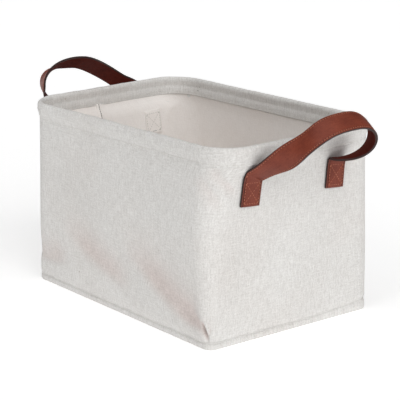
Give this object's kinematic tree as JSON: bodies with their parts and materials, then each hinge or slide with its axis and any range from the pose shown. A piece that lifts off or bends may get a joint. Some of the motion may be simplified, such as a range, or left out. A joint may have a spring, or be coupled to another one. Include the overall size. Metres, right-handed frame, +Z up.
{
  "type": "fabric storage bin",
  "caption": "Rectangular open-top canvas storage bin with a wire-stiffened hemmed rim and a stitched brown leather-look strap handle on each end.",
  "frame": {"origin": "middle of the underside, on the surface the bin stands on", "axes": "+Z up, X along the long sides, handles on the +X and -X end walls, -Y front"},
  "size_m": [0.5187, 0.2762, 0.2858],
  "materials": {
    "canvas": "off-white slubby cotton linen canvas with dark flecks",
    "lining": "off-white plain cotton lining",
    "interlining": "white needled interlining",
    "board": "grey polyethylene stiffening board",
    "steel": "galvanised spring wire",
    "canvas_thread": "off-white sewing thread",
    "strap_thread": "dark red-brown sewing thread",
    "strap_leather": "smooth chestnut brown leather-look strap, semi-matt",
    "strap_backing": "grey-brown strap backing"
  },
  "bodies": {
    "root": {"base_board": "board", "base_canvas": "canvas", "base_lining": "lining", "base_seam_piping": "canvas", "outer_wall_canvas": "canvas", "wall_interlining": "interlining", "wall_join_tape": "lining", "wall_lining": "lining"},
    "rim": {"box_stitching_left_front": "strap_thread", "box_stitching_left_rear": "strap_thread", "box_stitching_right_front": "strap_thread", "box_stitching_right_rear": "strap_thread", "hem_stitching_inner": "canvas_thread", "hem_stitching_outer": "canvas_thread", "inner_patch_left_front": "lining", "inner_patch_left_rear": "lining", "inner_patch_right_front": "lining", "inner_patch_right_rear": "lining", "rim_hem": "canvas", "rim_wire": "steel", "strap_end_left_front": "strap_leather", "strap_end_left_rear": "strap_leather", "strap_end_right_front": "strap_leather", "strap_end_right_rear": "strap_leather", "wire_ferrule": "steel"},
    "handle_right": {"strap_face_right": "strap_leather", "strap_backing_right": "strap_backing", "edge_stitching_right_inner": "strap_thread", "edge_stitching_right_outer": "strap_thread"},
    "handle_left": {"strap_face_left": "strap_leather", "strap_backing_left": "strap_backing", "edge_stitching_left_inner": "strap_thread", "edge_stitching_left_outer": "strap_thread"}
  },
  "joints": [
    {"name": "rim_collapse", "type": "slide", "parent": "root", "child": "rim", "axis": [0, 0, 1], "range_m": [-0.12, 0], "deforming": ["outer_wall_canvas", "wall_interlining", "wall_lining", "wall_join_tape"]},
    {"name": "handle_right_swing", "type": "hinge", "parent": "rim", "child": "handle_right", "pos_m": [0.18819, 0.00641, 0.2035], "axis": [-0.034, 0.9994, 0], "range_deg": [-14, 100]},
    {"name": "handle_left_swing", "type": "hinge", "parent": "rim", "child": "handle_left", "pos_m": [-0.18819, -0.00641, 0.2035], "axis": [0.034, -0.9994, 0], "range_deg": [0, 100]}
  ]
}
